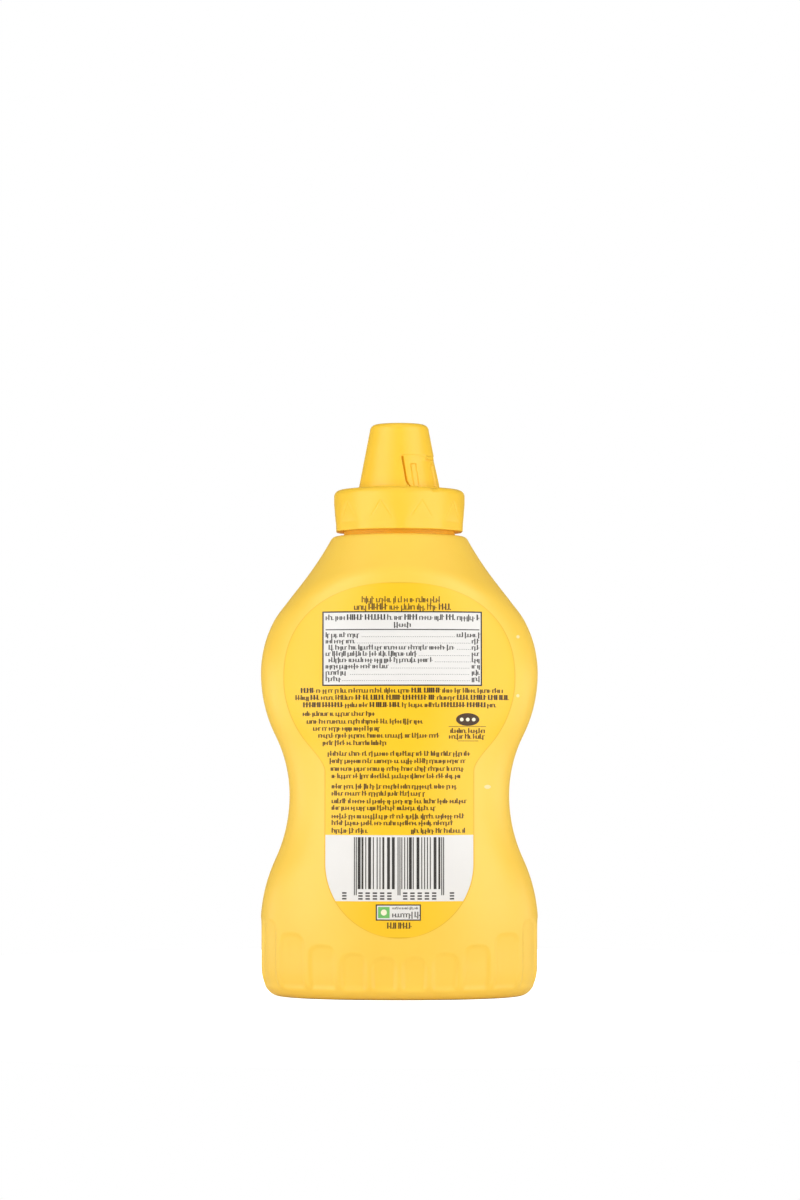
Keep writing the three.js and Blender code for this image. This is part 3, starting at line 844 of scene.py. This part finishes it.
CODE_HALVES = ((4, 45), (50, 91))
CODE_GUARD_DROP = 1.8
CODE_MARKS = ((-17.0, 1), (-12.2, 5), (1.1, 5), (15.0, 1))
CODE_MARK_PITCH = 2.15
CODE_MARK_WIDTH = 1.3
CODE_MARK_LINE = 0.45
CODE_MARK_LEVELS = (30.1, 30.95, 31.8)
SORT_BOX = (-7.0, 6.4, 23.9, 28.7)
SORT_LINE = 0.34
SORT_PATCH = (-6.3, -2.9, 24.65, 27.95)
SORT_DISC = (-4.6, 26.3, 0.9, 0.9)
SORT_LINES = [(27.6, 0.8, 0.16), (25.6, 1.7, 0.18)]
SORT_TEXT_X = (-2.1, 5.8)
LAST_WORD = (22.3, -3.6, 3.5)
LAST_WORD_TEXT = {"height": 1.8, "weight": 0.14, "bold": 1.0}
SEED = 11


def code_bars(page, rng):
    """A made-up bar pattern: guard bars at the ends and the middle, and random bars between."""
    x0, x1, z0, z1 = CODE_BARS
    pitch = (x1 - x0) / CODE_MODULES
    for guard in CODE_GUARDS:
        page.box(x0 + guard * pitch, x0 + (guard + 1) * pitch, z0 - CODE_GUARD_DROP, z1)
    for start, stop in CODE_HALVES:
        place = start
        while place < stop - 1:
            wide = rng.choice((1, 1, 2, 3))
            page.box(x0 + place * pitch, x0 + min(place + wide, stop) * pitch, z0, z1)
            place += wide + rng.choice((1, 2, 2, 2, 3))


def code_marks(page):
    """Short dashes in threes below the bars: single threes at the ends, and two groups of five."""
    for first, count in CODE_MARKS:
        for i in range(count):
            left = first + i * CODE_MARK_PITCH
            for level in CODE_MARK_LEVELS:
                page.box(left, left + CODE_MARK_WIDTH, level, level + CODE_MARK_LINE)


def code_panel(page):
    """White panel across the shank, cut to the label's round end."""
    zs = np.linspace(*CODE_PANEL, 24)
    half = label_half_width(zs) - EDGE_LINE_WIDTH
    page.grid(half[:, None] * np.linspace(-1, 1, 25), zs)


def print_table(white, black, rng):
    """Framed white table: two lines of heading, a rule, and rows with dotted leaders and values."""
    white.box(*TABLE_BOX)
    black.frame(*TABLE_BOX, TABLE_LINE)
    z, x0, x1 = TABLE_HEAD
    stroke_row(black, rng, x0, x1, z, **TABLE_HEAD_TEXT)
    z, x0, x1 = TABLE_SUBHEAD
    stroke_row(black, rng, x0, x1, z)
    black.box(*TABLE_RULE)
    for i, end in enumerate(TABLE_ENDS):
        z = TABLE_FIRST_ROW - i * TABLE_PITCH
        indent = TABLE_INDENT if i in TABLE_INDENTED else 0
        values_x = TABLE_VALUES[0] if i else TABLE_FIRST_VALUE_X
        stroke_row(black, rng, TABLE_START_X + indent, end, z)
        stroke_row(black, rng, values_x, TABLE_VALUES[1], z)
        for dot in np.arange(end + 0.6, values_x - 0.5, LEADER_STEP):
            black.box(dot, dot + LEADER_DOT, z - LEADER_DROP[0], z - LEADER_DROP[1])


def print_plate(ink, cream):
    """Two rules and, over them, a plain dark oval with three pale dots."""
    for z, x0, x1 in PLATE_RULES:
        ink.box(x0, x1, z - PLATE_RULE_HALF, z + PLATE_RULE_HALF)
    ink.ellipse(*EMBLEM)
    for i in (-1, 0, 1):
        cream.ellipse(EMBLEM[0] + EMBLEM_DOT_PITCH * i, EMBLEM[1], EMBLEM_DOT, EMBLEM_DOT)


def print_sort_box(white, black, green, cream, rng):
    """Framed white box with a green patch, a pale disc on it and two lines of text."""
    white.box(*SORT_BOX)
    black.frame(*SORT_BOX, SORT_LINE)
    green.box(*SORT_PATCH)
    cream.ellipse(*SORT_DISC)
    for z, height, weight in SORT_LINES:
        stroke_row(black, rng, *SORT_TEXT_X, z, height, weight)


def make_information_print():
    rng = random.Random(SEED)
    ink = Print("info_print_brown", INK_BROWN)
    black = Print("info_print_black", INK_BLACK)
    white = Print("info_print_white", PAPER_WHITE, FILM_INNER, PAPER_TOP)
    green = Print("info_print_green", INK_GREEN)
    cream = Print("info_print_cream", INK_CREAM, INK_TOP - 0.02, INK_TOP + 0.02)
    for bold, (z, x0, x1) in zip((0.0, 0.4), HEADLINES):
        stroke_row(ink, rng, x0, x1, z, bold=bold, **HEADLINE_TEXT)
    print_table(white, black, rng)
    for z, x0, x1 in CONTENTS_LINES:
        stroke_row(ink, rng, x0, x1, z, bold=CONTENTS_BOLD)
    for z, x0, x1 in ADDRESS_LINES + BODY_LINES + PLATE_LINES:
        stroke_row(ink, rng, x0, x1, z)
    print_plate(ink, cream)
    code_panel(white)
    code_bars(black, rng)
    code_marks(black)
    print_sort_box(white, black, green, cream, rng)
    z, x0, x1 = LAST_WORD
    stroke_row(ink, rng, x0, x1, z, **LAST_WORD_TEXT)
    return [page.finish() for page in (ink, black, white, green, cream)]


# Layout of the hidden label. An oval is given as (x, height, half width, half height), and a ring of
# seeds as (half width, half height, how many, half a seed).
FRONT_OVAL = (0, 98, 27.0, 16.0)
FRONT_OVAL_RING = 1.4
FRONT_OVAL_SEEDS = (19.5, 9.6, 28, 0.85)
FRONT_BAND = (-16, 16, 70.6, 75.4)
FRONT_BAND_FIELD = (-14.8, 14.8, 71.6, 74.4)
FRONT_BAND_SEEDS_X = (-10, -5, 0, 5, 10)
FRONT_BAND_SEED = 0.7
FRONT_DISC = (0, 44, 14.0, 14.0)
FRONT_DISC_RING = 1.2
FRONT_DISC_SEEDS = ((0, 0, 1, 1.1), (4.2, 4.2, 6, 1.1), (8.4, 8.4, 12, 1.1))


def ringed_oval(cream, russet, oval, ring):
    x, z, half_width, half_height = oval
    russet.ellipse(*oval)
    cream.ellipse(x, z, half_width - ring, half_height - ring)


def ring_of_seeds(page, x, z, half_width, half_height, count, seed):
    for i in range(count):
        angle = 2 * math.pi * i / count
        page.ellipse(x + half_width * math.cos(angle), z + half_height * math.sin(angle), seed, seed)


def make_front_print():
    """A plain made-up front: an oval with a ring of seeds, a band with a row and a disc full of them."""
    cream = Print("front_print_cream", INK_CREAM, FILM_INNER, PAPER_TOP, on_back=True)
    russet = Print("front_print_russet", INK_RUSSET, FILM_INNER, PAPER_TOP - 0.015, on_back=True)
    seeds = Print("front_print_seeds", INK_RUSSET, on_back=True)
    ringed_oval(cream, russet, FRONT_OVAL, FRONT_OVAL_RING)
    russet.box(*FRONT_BAND)
    cream.box(*FRONT_BAND_FIELD)
    ringed_oval(cream, russet, FRONT_DISC, FRONT_DISC_RING)
    ring_of_seeds(seeds, *FRONT_OVAL[:2], *FRONT_OVAL_SEEDS)
    band_z = (FRONT_BAND[2] + FRONT_BAND[3]) / 2
    for x in FRONT_BAND_SEEDS_X:
        seeds.ellipse(x, band_z, FRONT_BAND_SEED, FRONT_BAND_SEED)
    for ring in FRONT_DISC_SEEDS:
        ring_of_seeds(seeds, *FRONT_DISC[:2], *ring)
    return [page.finish() for page in (cream, russet, seeds)]


# Pale specks on the bottle, right of the label: (x, height, half width, half height)
SPECKS = ((35.8, 108.7, 0.5, 0.5), (35.7, 90.9, 0.5, 0.5), (26.5, 63.5, 1.0, 0.6))
SPECK_LIFT = 0.05


def make_specks():
    specks = Print("pale_specks", SPECK_PALE, -SPECK_LIFT, SPECK_LIFT)
    for speck in SPECKS:
        specks.ellipse(*speck)
    return specks.finish()


# Studio

def make_camera():
    data = bpy.data.cameras.new("camera")
    data.lens = LENS_MM
    data.sensor_width = SENSOR_MM
    data.clip_start, data.clip_end = 0.05, 20
    camera = bpy.data.objects.new("camera", data)
    bpy.context.scene.collection.objects.link(camera)
    camera.location = Vector((AIM_SIDE, -CAMERA_DISTANCE, CAMERA_HEIGHT)) * MM
    aim = Vector((AIM_SIDE, 0, AIM_HEIGHT)) * MM
    camera.rotation_euler = (aim - camera.location).to_track_quat("-Z", "Y").to_euler()
    bpy.context.scene.camera = camera


def area_light(name, place, aim, width, height, radiance):
    """A soft light of one brightness over its size, in metres."""
    data = bpy.data.lights.new(name, "AREA")
    data.shape = "RECTANGLE"
    data.size, data.size_y = width, height
    data.energy = radiance * math.pi * width * height
    light = bpy.data.objects.new(name, data)
    light.location = place
    light.rotation_euler = (Vector(aim) - light.location).to_track_quat("-Z", "Y").to_euler()
    bpy.context.scene.collection.objects.link(light)
    return light


def make_lights():
    """Soft light from both sides and the top, and a back light that no edge mirrors."""
    for side in (-1, 1):
        area_light(f"softbox_{side}", (0.67 * side, -0.523, 0.27), (0, 0, 0.27), 1.235, 1.0, 1.2)
        area_light(f"softbox_core_{side}", (0.671 * side, -0.436, 0.27), (0, 0, 0.27), 0.64, 1.0, 1.05)
        area_light(f"card_{side}", (0.48 * side, 0.13, 0.03), (0, 0, 0.03), 0.28, 0.2, 1.5)
    area_light("softbox_top", (0, -0.2, 0.85), (0, 0, 0.12), 2.0, 0.7, 0.42)
    back = area_light("softbox_back", (0, 1.3, 0.35), (0, 0, 0.1), 1.5, 1.1, 1.1)
    back.visible_glossy = False


def seen_by_camera(tree):
    return tree.nodes.new("ShaderNodeLightPath").outputs["Is Camera Ray"]


def make_world():
    """White as a backdrop. As a light it is a dimmer dome that fades towards the back."""
    world = bpy.data.worlds.new("studio")
    bpy.context.scene.world = world
    world.use_nodes = True
    tree = world.node_tree
    place = tree.nodes.new("ShaderNodeTexCoord")
    parts = tree.nodes.new("ShaderNodeSeparateXYZ")
    tree.links.new(place.outputs["Generated"], parts.inputs["Vector"])
    dome = tree.nodes.new("ShaderNodeMapRange")
    dome.inputs["From Min"].default_value = -1.0
    dome.inputs["From Max"].default_value = 1.0
    dome.inputs["To Min"].default_value = DOME_FRONT
    dome.inputs["To Max"].default_value = DOME_BACK
    tree.links.new(parts.outputs["Y"], dome.inputs["Value"])
    mix = tree.nodes.new("ShaderNodeMix")
    mix.inputs["B"].default_value = 1.0
    tree.links.new(dome.outputs["Result"], mix.inputs["A"])
    tree.links.new(seen_by_camera(tree), mix.inputs["Factor"])
    tree.links.new(mix.outputs["Result"], tree.nodes["Background"].inputs["Strength"])
    tree.nodes["Background"].inputs["Color"].default_value = (1, 1, 1, 1)


def make_floor():
    angles = 2 * np.pi * np.arange(96) / 96
    rim = np.stack([FLOOR_RADIUS * np.cos(angles), FLOOR_RADIUS * np.sin(angles), 0 * angles], axis=1)
    new_object("floor", rim, [list(range(96))], pale_floor())


def pale_floor():
    material, tree, shader = node_material("floor_pale")
    shader.inputs["Base Color"].default_value = (FLOOR_GREY, FLOOR_GREY, FLOOR_GREY, 1)
    shader.inputs["Roughness"].default_value = 0.9
    shader.inputs["Specular IOR Level"].default_value = 0.0
    shader.inputs["Emission Color"].default_value = (1.0, 1.0, 1.0, 1)
    tree.links.new(seen_by_camera(tree), shader.inputs["Emission Strength"])
    return material


def dress(pieces, node):
    """Puts pieces on the one body, and in place of a CAD node."""
    for piece in pieces:
        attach(piece, "root")
        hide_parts(node)


make_camera()
make_world()
make_lights()
make_floor()
dress([make_bottle(), make_specks()], "bottle")
dress([make_cap()], "cap")
dress([make_film("info_film", False)] + make_information_print(), "info_label")
dress([make_film("front_film", True)] + make_front_print(), "front_label")

bpy.context.scene.view_settings.view_transform = "Standard"
